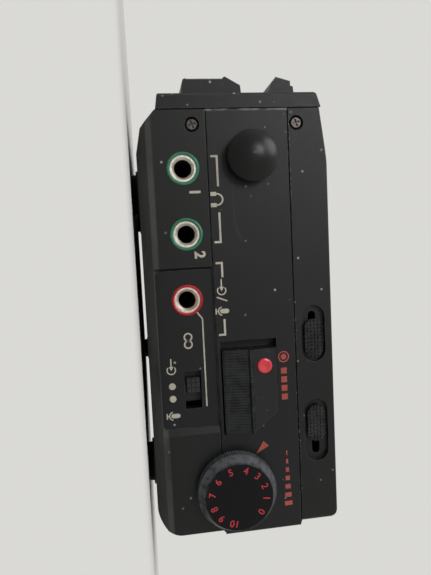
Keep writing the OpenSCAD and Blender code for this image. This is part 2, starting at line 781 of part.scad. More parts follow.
// Key number 0 is the leftmost. The flange behind the panel keeps it in its opening.
module front_key(n) {
    x0 = key_left + n * key_pitch + key_gap / 2;
    x1 = key_left + (n + 1) * key_pitch - key_gap / 2;
    z1 = key_z + key_h;
    along_x(x0, x1) key_outline();
    box([x0 + 3, front_y - 0.7, key_z + 0.1], [x1 - 5, front_y + 1.4, z1 - 0.6]);
    box([x0 + 3, front_y + run_gap, key_z - 1.1], [x1 - 5, front_y + 1.4, key_z + 0.2]);
    // pusher that works the mechanism
    box([(x0 + x1) / 2 - 3, front_y + 1.3, key_z + 3], [(x0 + x1) / 2 + 3, front_y + 5, key_z + 6]);
}

module rewind_key() {
    color("#1b1b1d") front_key(0);
}

module forward_key() {
    color("#1b1b1d") front_key(1);
}

module play_key() {
    color("#1b1b1d") front_key(2);
}

module stop_key() {
    color("#1b1b1d") front_key(3);
}

module pause_key() {
    color("#1b1b1d") front_key(4);
}

// Sloping base with a narrower ribbed cap on it. The flange keeps clear of the end screw.
module eject_button() {
    ribs = 7;
    cap_low = [key_y + 0.15, eject_z0 + 2.1];
    cap_high = [key_y + 1, eject_z1 - 0.75];
    flange_x1 = end_x - 9;
    color("#1b1b1d") {
        along_x(eject_x0, eject_x1) {
            polygon([[front_y - 0.6, eject_z1], [front_y - 0.6, eject_z0], [panel_y, eject_z0],
                     [key_y + 1.05, eject_z0 + 1.3], [key_y + 2.2, eject_z1 - 0.2], [panel_y, eject_z1]]);
            polygon(concat([[key_y + 2.3, cap_high[1]], [key_y + 1.3, cap_low[1] - 0.3],
                            [key_y + 1.05, cap_low[1] - 0.3]],
                           [for (i = [0:2 * ribs]) cap_low + (cap_high - cap_low) * i / (2 * ribs)
                               + [0.18 * (i % 2), 0]]));
        }
        box([eject_x0 + 2, front_y - 0.7, eject_z0 + 0.1], [flange_x1, front_y + 1.4, eject_z1 - 0.1]);
        box([eject_x0 + 0.3, front_y + run_gap, eject_z0 - 0.8],
            [flange_x1, front_y + 1.4, eject_z1 + 0.8]);
    }
}

// ---------------------------------------------------------------- cassette lid

window_x = 31;
window_y0 = -19;
window_y1 = 11;
window_step = 0.8;
lid_t = 1.8;

// Outline of the window in the lid, drawn g larger all round
module window_outline(g, r) {
    round_rect(deck_x - window_x - g, window_y0 - g, deck_x + window_x + g, window_y1 + g, r);
}

module cassette_lid() {
    slope_y = front_y + roof_slope_d;
    front_top = top_z - roof_slope_h * (slope_y - lid_front) / roof_slope_d;
    color("#222224") difference() {
        union() {
            intersection() {
                along_x(lid_x0, lid_x1) {
                    polygon([[lid_front, front_top], [slope_y, top_z], [hinge_y, top_z],
                             [hinge_y, top_z - lid_t], [slope_y, top_z - lid_t],
                             [lid_front, front_top - lid_t]]);
                    translate([hinge_y, hinge_z]) circle(hinge_r);
                }
                along_z(hinge_z - 5, top_z + 1)
                    round_rect(lid_x0, lid_front, lid_x1, hinge_y + hinge_r + 4, 1.5);
            }
            // guides at the two ends of the cassette
            for (x = [deck_x - 52.5, deck_x + 51.1])
                box([x, -26, 31.5], [x + 1.4, 24, top_z - lid_t + 0.2]);
            // front lip and the latch tongue
            box([lid_x0 + 3, lid_front + 0.4, 37.3], [lid_x1 - 3, lid_front + 1.6, front_top - lid_t + 0.2]);
        }
        // window opening with a step for the window
        along_z(top_z - window_step, top_z + 1) window_outline(1.5, 2.5);
        along_z(top_z - 4, top_z) window_outline(0, 2);
        // hinge bores
        rod_x(pin_r + run_gap, lid_x0 - 1, lid_x0 + 7, hinge_y, hinge_z);
        rod_x(pin_r + run_gap, lid_x1 - 7, lid_x1 + 1, hinge_y, hinge_z);
        // relief between the hinge barrels
        box([lid_x0 + 12, hinge_y - hinge_r - 1, hinge_z - hinge_r - 1],
            [lid_x1 - 12, hinge_y + hinge_r + 1, hinge_z - 0.4]);
    }
}

module lid_window() {
    color([0.35, 0.36, 0.38, 0.45]) {
        along_z(top_z - window_step, top_z) window_outline(1.5, 2.5);
        along_z(top_z - lid_t, top_z - window_step + eps) window_outline(0, 2);
    }
}

module lid_hinge_pins() {
    color("#b8bbc0") {
        rod_x(pin_r, lid_x0 - 1.5, lid_x0 + 6, hinge_y, hinge_z);
        rod_x(pin_r, lid_x1 - 6, lid_x1 + 1.5, hinge_y, hinge_z);
    }
}

// Leaf spring riveted under the lid, with two bowed fingers that hold the cassette down
module lid_spring() {
    z = top_z - lid_t;
    color("#c9ccd0") {
        box([deck_x - 26, 16, z - 0.4], [deck_x + 26, 21, z]);
        for (x = [deck_x - 22, deck_x + 16]) along_x(x, x + 6)
            polygon([[21, z], [21, z - 0.4], [25.5, z - 1.9], [29.5, z - 1], [29.5, z - 0.6],
                     [25.5, z - 1.5]]);
        for (x = [deck_x - 10, deck_x + 10]) rod_z(1.1, x, 18.5, z - 0.8, z - 0.4);
    }
}

// Side walls of the cassette well; they carry the lid's hinge pins
module well_frame() {
    color("#28282a") difference() {
        union() {
            for (x = [lid_x0 - slide_gap - 1.2, lid_x1 + slide_gap]) {
                box([x, -36, deck_z], [x + 1.2, -27, roof_z - roof_slope_h - 0.3]);
                box([x, -27.01, deck_z], [x + 1.2, bay_y0 - 1, roof_z]);
                box([x, bay_y0 - 1.01, seam_high], [x + 1.2, hinge_y + hinge_r + slide_gap, roof_z]);
            }
            box([lid_x0 - slide_gap - 1.2, bay_y0 - 1, seam_high],
                [lid_x1 + slide_gap + 1.2, hinge_y + hinge_r + slide_gap, hinge_z - hinge_r - slide_gap]);
        }
        rod_x(pin_r, lid_x0 - 3, lid_x1 + 3, hinge_y, hinge_z);
    }
}

// ---------------------------------------------------------------- tape mechanism

spindle_x = [deck_x - reel_pitch / 2, deck_x + reel_pitch / 2];
guide_x = [deck_x - 11.6, deck_x + 17];
guide_y = -37.6;
locator_x = [deck_x - 44, deck_x + 44];
locator_y = -31.5;
head_z0 = 26.4;
head_z1 = 36.5;

// Open, pressed-steel deck with its fixed pins, seen when the lid is up
module deck_plate() {
    color("#9da0a5") difference() {
        union() {
            along_z(deck_z - deck_t, deck_z) round_rect(lid_x0 + 0.2, -39.8, lid_x1 - 0.2, bay_y0 - 1.2, 2);
            for (x = spindle_x) rod_z(1, x, spindle_y, deck_z - 1, 31);
            for (x = guide_x) {
                rod_z(0.9, x, guide_y, deck_z - 1, 27.4);
                rod_z(1.6, x, guide_y, 27, 27.5);
            }
            rod_z(1.2, arm_x, arm_y, deck_z - 1, 27.6);
            for (x = locator_x) translate([x, locator_y, deck_z - eps]) rotate_extrude()
                polygon([[0, 0], [2.6, 0], [2.6, 1.2], [1.4, 1.3], [1.4, 8.6], [0.5, 11], [0, 11]]);
            // bearing bush of the capstan
            rod_z(2.6, capstan_x, tape_y, deck_z - 3, deck_z + 1.6);
            // rest pads under the back corners of the cassette
            for (x = locator_x) rod_z(2, x, 24, deck_z - 1, 27.8);
        }
        rod_z(capstan_r + run_gap, capstan_x, tape_y, deck_z - 4, deck_z + 3);
        for (p = post_spots) rod_z(1.05, p[0], p[1], deck_z - 2, deck_z + 1);
        // lightening slots and the sensing windows of the mechanism
        along_z(deck_z - 2, deck_z + 1) {
            slot(deck_x - 12, deck_x + 12, 12, 5);
            slot(deck_x - 50, deck_x - 34, 10, 5);
            slot(deck_x + 34, deck_x + 50, 10, 5);
            slot(deck_x - 54, deck_x - 46, -30, 3);
        }
    }
}

// Reel drive hub with six drive splines, turning on a pin of the deck
module reel_spindle(x) {
    translate([x, spindle_y, 0]) difference() {
        union() {
            rotate_extrude() polygon([[0, 25.4], [6.2, 25.4], [6.2, 26.3], [5.2, 26.9], [3.4, 27.1],
                                      [3.2, 33.6], [1.4, 35.8], [0, 35.8]]);
            for (a = [0:60:300]) rotate(a) intersection() {
                translate([2, -0.5, 27]) cube([2.4, 1, 7.6]);
                rotate_extrude() polygon([[0, 26.9], [4.3, 26.9], [4.3, 32.6], [2.4, 34.6], [0, 34.6]]);
            }
        }
        translate([0, 0, 25]) cylinder(r = 1 + run_gap, h = 6.3);
    }
}

module supply_spindle() {
    color("#e3e1da") reel_spindle(spindle_x[0]);
}

module takeup_spindle() {
    color("#e3e1da") reel_spindle(spindle_x[1]);
}

module capstan() {
    color("#c9ccd1") rod_z(capstan_r, capstan_x, tape_y, base_z + 1.8, 37);
}

module flywheel() {
    r = flywheel_d / 2;
    color("#b99a4a") translate([capstan_x, tape_y, 0]) rotate_extrude()
        polygon([[capstan_r, 6.8], [r, 6.8], [r, belt_z - 0.9], [r - 0.7, belt_z - 0.6],
                 [r - 0.7, belt_z + 0.6], [r, belt_z + 0.9], [r, 10], [r - 2, 10],
                 [r - 2.6, 9.2], [3, 9.2], [3, 12], [capstan_r, 12]]);
}

module motor() {
    color("#a2a5aa") translate([motor_x, motor_y, 0]) difference() {
        union() {
            rotate_extrude() polygon([[0, 11.6], [10.6, 11.6], [11, 12], [11, deck_z - deck_t],
                                      [0, deck_z - deck_t]]);
            translate([0, 0, 11]) cylinder(r = 3, h = 1);
        }
        translate([0, 0, 10]) cylinder(r = 1 + run_gap, h = 6);
    }
}

module motor_pulley() {
    color("#c2a254") translate([motor_x, motor_y, 0]) {
        rotate_extrude() polygon([[0, 6.6], [3.8, 6.6], [3.8, 7.2], [pulley_r, 7.6], [pulley_r, 9.4],
                                  [3.8, 9.8], [3.8, 10.4], [0, 10.4]]);
        translate([0, 0, 7]) cylinder(r = 1, h = 8.4);
    }
}

function arc_points(centre, r, a0, a1, n) =
    [for (i = [0:n]) centre + r * [cos(a0 + (a1 - a0) * i / n), sin(a0 + (a1 - a0) * i / n)]];

// Outline of the belt's loop, g outside the pulley grooves
module belt_outline(g) {
    r1 = pulley_r + g;
    r2 = flywheel_d / 2 - 0.7 + g;
    span = [capstan_x - motor_x, tape_y - motor_y];
    along = atan2(span[1], span[0]);
    lean = acos((r1 - r2) / norm(span));
    translate([motor_x, motor_y])
        polygon(concat(arc_points([0, 0], r1, along + lean, along + 360 - lean, 20),
                       arc_points(span, r2, along - lean, along + lean, 32)));
}

module drive_belt() {
    color("#141414") along_z(belt_z - 0.45, belt_z + 0.45) difference() {
        belt_outline(0.98);
        belt_outline(0.08);
    }
}

// Sliding plate that carries the heads towards the tape
module head_bridge() {
    color("#8f9298") difference() {
        union() {
            along_z(deck_z + 0.2, head_z0) round_rect(deck_x - 26, -41.1, deck_x + 22, -34.6, 1.2);
            box([deck_x - 26, -41.1, deck_z + 0.2], [deck_x - 14, -40.3, 29]);
        }
        for (x = guide_x) along_z(deck_z - 1, head_z0 + 1) translate([x, guide_y]) rotate(90)
            slot(-bridge_travel - 1.2, 1.2, 0, 2 * (0.9 + run_gap));
    }
}

// Metal-cased head whose face bulges towards the tape
module tape_head(x, w, y0, y1, face_r) {
    intersection() {
        box([x - w / 2, y0, head_z0], [x + w / 2, y1, head_z1]);
        rod_z(face_r, x, y1 - face_r, head_z0, head_z1);
    }
    box([x - w / 2 - 1.6, y0 + 0.6, head_z0], [x + w / 2 + 1.6, y1 - 2.4, head_z0 + 0.9]);
}

module sound_head() {
    color("#c6c9ce") difference() {
        tape_head(deck_x, 11.5, -40.8, -35.2, 9);
        // pole gap line across the face, level with the tape
        box([deck_x - 0.12, -36, 30], [deck_x + 0.12, -35, 35.2]);
    }
}

module erase_head() {
    color("#55585e") tape_head(deck_x - 20.5, 6, -40, -35.6, 5);
}

module pinch_arm() {
    reach = [capstan_x - arm_x, roller_rest_y - arm_y];
    color("#b4b7bc") difference() {
        union() {
            translate([arm_x, arm_y, 0]) rotate(atan2(reach[1], reach[0])) {
                along_z(deck_z + 0.3, deck_z + 1.2) slot(-2.6, norm(reach) + 2.2, 0, 4.6);
                rod_z(2.3, 0, 0, deck_z + 0.3, deck_z + 2);
            }
            rod_z(0.9, capstan_x, roller_rest_y, deck_z + 1, 36.8);
        }
        rod_z(1.2 + run_gap, arm_x, arm_y, deck_z - 1, deck_z + 4);
    }
}

module pinch_roller() {
    color("#1c1a19") translate([capstan_x, roller_rest_y, 0]) difference() {
        rotate_extrude() polygon([[0, 26.8], [2, 26.8], [2, 27.4], [roller_r - 0.3, 27.4], [roller_r, 27.7],
                                  [roller_r, 35.8], [roller_r - 0.3, 36.1], [2, 36.1], [2, 36.4], [0, 36.4]]);
        translate([0, 0, 26]) cylinder(r = 0.9 + run_gap, h = 12);
    }
}

// ---------------------------------------------------------------- electronics, meter and counter

module circuit_board() {
    x0 = lid_x1 + 2.2;
    z = board_z;
    color("#3f6b3c") {
        box([x0, -33, z], [78, 26, z + 1.4]);
        for (p = [[52, -24, 3, 7], [60, -20, 2.4, 6], [68, -26, 2, 5], [56, 14, 3, 8], [70, 18, 2.4, 6]])
            rod_z(p[2], p[0], p[1], z + 1, z + 1.4 + p[3]);
        for (y = [-12, -2, 6]) box([52, y, z + 1], [66, y + 6, z + 3.2]);
    }
}

module meter_window() {
    color([0.25, 0.10, 0.10, 0.6]) along_z(top_z - 1.2, top_z)
        round_rect(meter_x0, meter_y - 3.4, meter_x1, meter_y + 3.4, 0.8);
}

// Five signal lamps in a row under the meter window, on their strip
module meter_lamps() {
    color("#c02020") {
        for (i = [0:4]) {
            rod_z(1.3, meter_x0 + 4 + 5 * i, meter_y, roof_z - 3, roof_z);
            translate([meter_x0 + 4 + 5 * i, meter_y, roof_z]) intersection() {
                sphere(r = 1.3);
                cylinder(r = 1.3, h = 0.55);
            }
        }
        box([meter_x0 + 1, meter_y - 2.4, roof_z - 4], [meter_x1 - 1, meter_y + 2.4, roof_z - 2.9]);
    }
}

// Outline of a drive rim: teeth with flat tops and slanted sides
module toothed_outline(r, depth, teeth) {
    step = 360 / teeth;
    polygon([for (i = [0:teeth - 1]) for (k = [[0.0, r], [0.42, r], [0.56, r - depth], [0.86, r - depth]])
        k[1] * [cos((i + k[0]) * step), sin((i + k[0]) * step)]]);
}

// Number wheel with a notched drive rim; 0 is the units wheel
module counter_wheel(n) {
    x = counter_x + counter_pitch * (1 - n) - counter_pitch / 2;
    color("#f0efe9") translate([x, counter_y, counter_axis_z]) rotate([0, 90, 0]) difference() {
        union() {
            translate([0, 0, 0.2]) cylinder(r = counter_r, h = counter_pitch - 0.8);
            translate([0, 0, 0.3]) linear_extrude(counter_pitch - 0.6)
                toothed_outline(counter_r - 0.8, 0.8, 10);
        }
        translate([0, 0, -1]) cylinder(r = 1 + run_gap, h = counter_pitch + 2);
    }
}

module counter_units() {
    counter_wheel(0);
}

module counter_tens() {
    counter_wheel(1);
}

module counter_hundreds() {
    counter_wheel(2);
}

module counter_frame() {
    x0 = counter_x - 1.5 * counter_pitch - 0.6;
    x1 = counter_x + 1.5 * counter_pitch + 0.6;
    color("#6d7076") {
        for (x = [x0 - 0.8, x1]) box([x, counter_y - 4, 27], [x + 0.8, counter_y + 4, roof_z]);
        box([x0 - 0.8, counter_y - 4, 26.2], [x1 + 0.8, counter_y + 4, 27.01]);
        rod_x(1, x0 - 0.8, x1 + 0.8, counter_y, counter_axis_z);
    }
}

module counter_reset() {
    color("#2b2b2e") translate([reset_x, counter_y, 0]) rotate_extrude()
        polygon([[0, 34.5], [1.5, 34.5], [1.5, 37.2], [3.8, 37.2], [3.8, roof_z - run_gap],
                 [2.8, roof_z - run_gap], [2.8, top_z - 0.4], [2.5, top_z - 0.1], [0, top_z - 0.25]]);
}

// ---------------------------------------------------------------- drawing

bottom_shell();
middle_frame();
top_shell();
front_panel();
line_in_panel();
battery_tray();
battery_contacts();
battery_door();
rubber_feet();
end_screws();
base_screws();
strap_stud_right();
strap_stud_left();
headphone_socket_1();
headphone_socket_2();
line_in_socket();
line_out_socket();
headphone_rings();
line_in_ring();
dc_inlet();
input_switch();
tape_switch();
speed_switch();
record_key();
record_dot();
level_dial();
level_shaft();
level_control();
rewind_key();
forward_key();
play_key();
stop_key();
pause_key();
eject_button();
cassette_lid();
lid_window();
lid_hinge_pins();
lid_spring();
well_frame();
deck_plate();
supply_spindle();
takeup_spindle();
capstan();
flywheel();
motor();
motor_pulley();
drive_belt();
head_bridge();
sound_head();
erase_head();
pinch_arm();
pinch_roller();
circuit_board();
meter_window();
meter_lamps();
counter_units();
counter_tens();
counter_hundreds();
counter_frame();
counter_reset();
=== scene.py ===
"""Looks of the portable cassette recorder: finishes, printed marks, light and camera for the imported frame.

X runs along the case with the socket end at +X, the keys face -Y and the lid faces +Z. Lengths are in metres,
but the printed marks are drawn in mm.
"""

import math

import bmesh
import bpy
from mathutils import Matrix, Vector


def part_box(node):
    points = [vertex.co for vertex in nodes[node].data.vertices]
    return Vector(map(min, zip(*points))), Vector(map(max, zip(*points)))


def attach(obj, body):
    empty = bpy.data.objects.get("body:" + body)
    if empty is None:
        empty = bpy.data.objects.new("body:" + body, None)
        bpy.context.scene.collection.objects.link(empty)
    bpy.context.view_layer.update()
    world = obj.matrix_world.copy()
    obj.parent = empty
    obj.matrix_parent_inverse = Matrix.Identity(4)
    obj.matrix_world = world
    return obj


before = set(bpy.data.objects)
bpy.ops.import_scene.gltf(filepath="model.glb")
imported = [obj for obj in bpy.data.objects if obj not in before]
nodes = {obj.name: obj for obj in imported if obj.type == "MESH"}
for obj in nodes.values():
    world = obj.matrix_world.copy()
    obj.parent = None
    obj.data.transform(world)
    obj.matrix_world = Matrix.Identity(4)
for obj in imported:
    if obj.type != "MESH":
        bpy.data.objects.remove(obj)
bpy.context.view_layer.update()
MM = 0.001


# ---------------------------------------------------------------- places, read from the frame

def low(node):
    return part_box(node)[0]


def high(node):
    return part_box(node)[1]


def middle(node):
    a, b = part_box(node)
    return (a + b) / 2


END_X = high("bottom_shell").x
FRONT_Y = low("bottom_shell").y
BASE_Z = low("bottom_shell").z
PANEL_Y = low("front_panel").y
SEAM_HIGH = high("middle_frame").z
MARKS_Z = BASE_Z + 3.3 * MM  # zero of the marks on the end face
COUNTER_WHEELS = ("counter_units", "counter_tens", "counter_hundreds")
DIAL_FACE = 7.25 * MM  # radius of the flat face inside the dial's bevel
SOCKET_COLLAR = 0.75 * MM  # depth of the metal collar in a socket's mouth
BOARD_THICKNESS = 1.4 * MM


# ---------------------------------------------------------------- node trees and new objects

class Tree:
    """The node tree of a material or a world, emptied, with short calls for its nodes."""

    def __init__(self, owner):
        owner.use_nodes = True
        self.tree = owner.node_tree
        self.tree.nodes.clear()

    def plug(self, socket, value):
        if isinstance(value, bpy.types.NodeSocket):
            self.tree.links.new(value, socket)
        elif socket.type == "RGBA":
            socket.default_value = (*value[:3], 1)
        else:
            socket.default_value = value

    def add(self, kind, inputs=None, **settings):
        node = self.tree.nodes.new(kind)
        for key, value in settings.items():
            setattr(node, key, value)
        for key, value in (inputs or {}).items():
            self.plug(node.inputs[key], value)
        return node

    def math(self, operation, a, b=0.0):
        return self.add("ShaderNodeMath", {0: a, 1: b}, operation=operation).outputs[0]

    def times(self, a, b):
        return self.math("MULTIPLY", a, b)

    def ramp(self, value, low_in, high_in, low_out=0.0, high_out=1.0, curve="SMOOTHSTEP"):
        """From low_out at low_in to high_out at high_in, and level beyond."""
        limits = {"From Min": low_in, "From Max": high_in, "To Min": low_out, "To Max": high_out}
        return self.add("ShaderNodeMapRange", {"Value": value, **limits}, interpolation_type=curve).outputs[0]

    def mix(self, factor, a, b):
        """Colour a where the factor is 0, colour b where it is 1."""
        return self.add("ShaderNodeMix", {0: factor, 6: a, 7: b}, data_type="RGBA").outputs[2]


def placed(name, data):
    """A new object in the scene."""
    made = bpy.data.objects.new(name, data)
    bpy.context.scene.collection.objects.link(made)
    return made


def placed_mesh(name, shape, material):
    """A new object in the scene from a bmesh, which is freed."""
    data = bpy.data.meshes.new(name)
    shape.to_mesh(data)
    shape.free()
    data.materials.append(material)
    return placed(name, data)


def matrix_of(right, up, normal, origin):
    """The matrix that carries the three axes to these directions and zero to the origin."""
    columns = ((*right, 0), (*up, 0), (*normal, 0), (*origin, 1))
    return Matrix(columns).transposed()


# ---------------------------------------------------------------- finishes

class Finish(Tree):
    """One material: a shader, and the patterns that feed it."""

    def __init__(self, name, **constants):
        self.material = bpy.data.materials.new(name)
        super().__init__(self.material)
        self.output = self.add("ShaderNodeOutputMaterial")
        self.shader = self.add("ShaderNodeBsdfPrincipled")
        self.plug(self.output.inputs[0], self.shader.outputs[0])
        self.place = self.add("ShaderNodeTexCoord").outputs["Object"]
        for socket, value in constants.items():
            self.set(socket.replace("_", " "), value)

    def set(self, socket, value):
        self.plug(self.shader.inputs[socket], value)

    def fed(self, socket):
        """What feeds a socket of the shader so far."""
        return self.shader.inputs[socket].links[0].from_socket

    def lay_over(self, factor, colour):
        """Lays a colour over the base colour so far, where the factor is 1."""
        self.set("Base Color", self.mix(factor, self.fed("Base Color"), colour))

    def stretched(self, stretch, shift):
        node = self.add("ShaderNodeMapping", {"Vector": self.place})
        node.inputs["Scale"].default_value = stretch
        node.inputs["Location"].default_value = (shift, shift * 1.7, shift * 0.6)
        return node.outputs[0]

    def noise(self, scale, detail=2.0, stretch=(1, 1, 1), shift=0.0):
        """Soft noise between about 0.2 and 0.8, with the given number of waves per metre."""
        place = self.stretched(stretch, shift)
        inputs = {"Vector": place, "Scale": scale, "Detail": detail, "Roughness": 0.55}
        return self.add("ShaderNodeTexNoise", inputs).outputs[0]

    def axis(self, index):
        """The place along X, Y or Z, for index 0, 1 or 2."""
        return self.add("ShaderNodeSeparateXYZ", {0: self.place}).outputs[index]

    def specks(self, cell, radius, share, shift=0.0):
        """Small round spots, up to 1 inside. This share of the cells carries one."""
        inputs = {"Vector": self.stretched((1, 1, 1), shift), "Scale": 1 / cell}
        cells = self.add("ShaderNodeTexVoronoi", inputs)
        drawn = self.add("ShaderNodeSeparateColor", {0: cells.outputs["Color"]})
        near = self.ramp(cells.outputs["Distance"], radius / cell, 0.5 * radius / cell)
        chosen = self.math("GREATER_THAN", drawn.outputs[0], 1 - share)
        strength = self.ramp(drawn.outputs[1], 0.2, 1.0, 0.35, 1.0)
        return self.times(self.times(near, chosen), strength)

    def hairlines(self, scale, stretch, width, shift=0.0):
        """Fine scratches: thin level lines of a stretched noise, broken up by another."""
        wave = self.noise(scale, 1.0, stretch, shift)
        line = self.ramp(self.math("ABSOLUTE", self.math("SUBTRACT", wave, 0.5)), width, 0.2 * width)
        broken = self.ramp(self.noise(scale * 0.5, 1.0, shift=shift + 3), 0.55, 0.66)
        return self.times(line, broken)

    def rounded(self, radius):
        """The normal with the edges of the mesh rounded off."""
        return self.add("ShaderNodeBevel", {"Radius": radius}, samples=6).outputs[0]

    def edges(self, radius, strength):
        """The strength along the edges of the mesh, fading out over the radius."""
        flat = self.add("ShaderNodeNewGeometry").outputs["True Normal"]
        same = self.add("ShaderNodeVectorMath", {0: self.rounded(radius), 1: flat}, operation="DOT_PRODUCT")
        return self.ramp(same.outputs["Value"], 0.995, 0.90, 0.0, strength)

    def relief(self, height, depth, rounding=0.0):
        """Bumps from a height field, on edges softened by the rounding."""
        inputs = {"Height": height, "Distance": depth, "Strength": 1.0}
        if rounding:
            inputs["Normal"] = self.rounded(rounding)
        self.set("Normal", self.add("ShaderNodeBump", inputs).outputs[0])


def shade(colour, factor):
    return tuple(min(1.0, c * factor) for c in colour)


def plastic(name, colour, seed, rough=0.4, specular=0.31, grain=4200, depth=0.008, rounding=0.12,
            rubbed_by=10, wear=0.5, dust=0.25, patches=0.2):
    """Moulded plastic: spark-eroded grain, uneven sheen, rubbed edges, hairline scratches and dust.

    The grain is in waves per metre, its depth and the rounding of edges are in mm, and a rubbed edge is
    rubbed_by times as bright as the colour.
    """
    f = Finish(name, Specular_IOR_Level=specular)
    blotch = f.noise(55, 3, shift=seed)
    cloud = f.noise(14, 2, shift=seed + 5)
    fine = f.noise(grain, 2, shift=seed)
    tone = f.mix(f.ramp(blotch, 0.3, 0.7), shade(colour, 1 - patches), shade(colour, 1 + patches))
    tone = f.mix(f.ramp(fine, 0.45, 0.75, 0.0, 0.35), tone, shade(colour, 1.7))
    rubbed = f.times(f.edges(0.3 * MM, wear), f.ramp(f.noise(420, 3, shift=seed + 1), 0.38, 0.58))
    tone = f.mix(rubbed, tone, shade(colour, rubbed_by))
    lines = f.times(f.hairlines(90, (1, 0.16, 1), 0.006, seed + 2), 0.5)
    tone = f.mix(lines, tone, shade(colour, 4))
    spots = f.specks(3.4 * MM, 0.34 * MM, dust * 2.2, seed)
    lint = f.specks(1.1 * MM, 0.12 * MM, dust * 0.5, seed + 9)
    f.set("Base Color", f.mix(f.math("MAXIMUM", spots, f.times(lint, 0.6)), tone, (0.32, 0.31, 0.29)))
    sheen = f.ramp(cloud, 0.3, 0.7, rough - 0.05, rough + 0.05)
    smears = f.ramp(f.noise(900, 2, shift=seed), 0.3, 0.7, -0.03, 0.03)
    f.set("Roughness", f.math("SUBTRACT", f.math("ADD", sheen, smears), f.times(rubbed, 0.12)))
    f.relief(f.math("ADD", fine, f.times(spots, 2.5)), depth * MM, rounding * MM)
    return f


def rubber(name, colour, seed, rough, grain, depth):
    """Matt rubber with a bloom on it and grey dirt towards its edges."""
    f = Finish(name, Specular_IOR_Level=0.25)
    bloom = f.ramp(f.noise(260, 4, shift=seed), 0.35, 0.7)
    tone = f.mix(bloom, colour, shade(colour, 2))
    tone = f.mix(f.times(f.edges(0.3 * MM, 0.7), bloom), tone, shade(colour, 5))
    f.set("Base Color", f.mix(f.specks(1.6 * MM, 0.1 * MM, 0.3, seed), tone, (0.25, 0.24, 0.22)))
    f.set("Roughness", f.ramp(bloom, 0, 1, rough - 0.12, rough + 0.05))
    f.relief(f.noise(grain, 3, shift=seed), depth * MM, 0.15 * MM)
    return f


def metal(name, colour, rough, grain, stretch=(1, 1, 1), depth=0.006, tarnish=0.3, dark=(0.05, 0.04, 0.03)):
    """Bare metal with tarnish, and with rolling or turning marks along the axis that has a small stretch."""
    f = Finish(name, Metallic=1.0)
    marks = f.noise(grain, 3, stretch)
    stain = f.ramp(f.noise(180, 4, shift=2), 0.42, 0.72, 0.0, tarnish)
    tone = f.mix(f.ramp(marks, 0.3, 0.7), shade(colour, 0.82), shade(colour, 1.08))
    tone = f.mix(stain, tone, dark)
    f.set("Base Color", f.mix(f.edges(0.15 * MM, 0.5), tone, shade(colour, 1.25)))
    sheen = f.ramp(marks, 0.3, 0.7, rough - 0.06, rough + 0.08)
    f.set("Roughness", f.math("ADD", sheen, f.times(stain, 0.5)))
    f.relief(marks, depth * MM, 0.08 * MM)
    return f


def socket_metal(name, axis, mouth):
    """Nickel collar round a plug's bore, which runs along the axis, with a black insulator behind it."""
    f = metal(name, (0.80, 0.74, 0.66), 0.3, 1500, depth=0.004, tarnish=0.35, dark=(0.25, 0.19, 0.13))
    collar_end = mouth - SOCKET_COLLAR
    deep = f.ramp(f.axis(axis), collar_end + 0.05 * MM, collar_end - 0.15 * MM)
    f.lay_over(deep, (0.006, 0.006, 0.006))
    f.set("Roughness", f.math("ADD", f.fed("Roughness"), f.times(deep, 0.5)))
    f.set("Metallic", f.math("SUBTRACT", 1.0, deep))
    return f


def gloss_plastic(name, colour, seed, rough, coat):
    """Smooth coloured plastic: faint flow marks, fine scuffs and a few specks of dust."""
    f = Finish(name, Specular_IOR_Level=0.5, Coat_Weight=coat, Coat_Roughness=0.12)
    flow = f.noise(220, 3, shift=seed)
    tone = f.mix(f.ramp(flow, 0.35, 0.65), shade(colour, 0.86), shade(colour, 1.1))
    worn = f.times(f.edges(0.2 * MM, 0.6), f.ramp(f.noise(900, 2, shift=seed), 0.4, 0.6))
    tone = f.mix(worn, tone, shade(colour, 0.55))
    f.set("Base Color", f.mix(f.specks(0.9 * MM, 0.06 * MM, 0.3, seed), tone, (0.35, 0.33, 0.3)))
    sheen = f.ramp(flow, 0.3, 0.7, rough - 0.05, rough + 0.08)
    scuffs = f.hairlines(300, (1, 0.2, 1), 0.02, seed)
    f.set("Roughness", f.math("ADD", sheen, f.times(scuffs, 0.2)))
    f.relief(f.noise(3000, 2, shift=seed), 0.004 * MM, 0.1 * MM)
    return f


def ink(name, colour, seed):
    """Screen-printed ink: uneven, and thin in specks where the dark plastic shows through."""
    f = Finish(name, Specular_IOR_Level=0.3)
    thin = f.noise(2600, 3, shift=seed)
    broad = f.ramp(f.noise(300, 2, shift=seed), 0.3, 0.7)
    tone = f.mix(broad, shade(colour, 0.86), shade(colour, 1.08))
    f.set("Base Color", f.mix(f.ramp(thin, 0.6, 0.75), tone, shade(colour, 0.45)))
    f.set("Roughness", f.ramp(thin, 0.3, 0.7, 0.5, 0.7))
    f.relief(thin, 0.006 * MM)
    return f


def clear_plastic(name, colour, seed, alpha):
    """Smoky clear plastic with hairline scratches that catch the light."""
    f = Finish(name, Specular_IOR_Level=0.6, Alpha=alpha, Coat_Weight=0.5, Coat_Roughness=0.05)
    haze = f.noise(120, 3, shift=seed)
    marks = f.times(f.hairlines(160, (1, 0.12, 1), 0.004, seed), 0.4)
    smoke = f.mix(f.ramp(haze, 0.3, 0.7), shade(colour, 0.8), shade(colour, 1.2))
    f.set("Base Color", f.mix(marks, smoke, (0.6, 0.6, 0.6)))
    f.set("Roughness", f.math("ADD", f.ramp(haze, 0.3, 0.7, 0.04, 0.14), f.times(marks, 0.3)))
    f.relief(f.noise(700, 2, shift=seed), 0.004 * MM, 0.1 * MM)
    return f


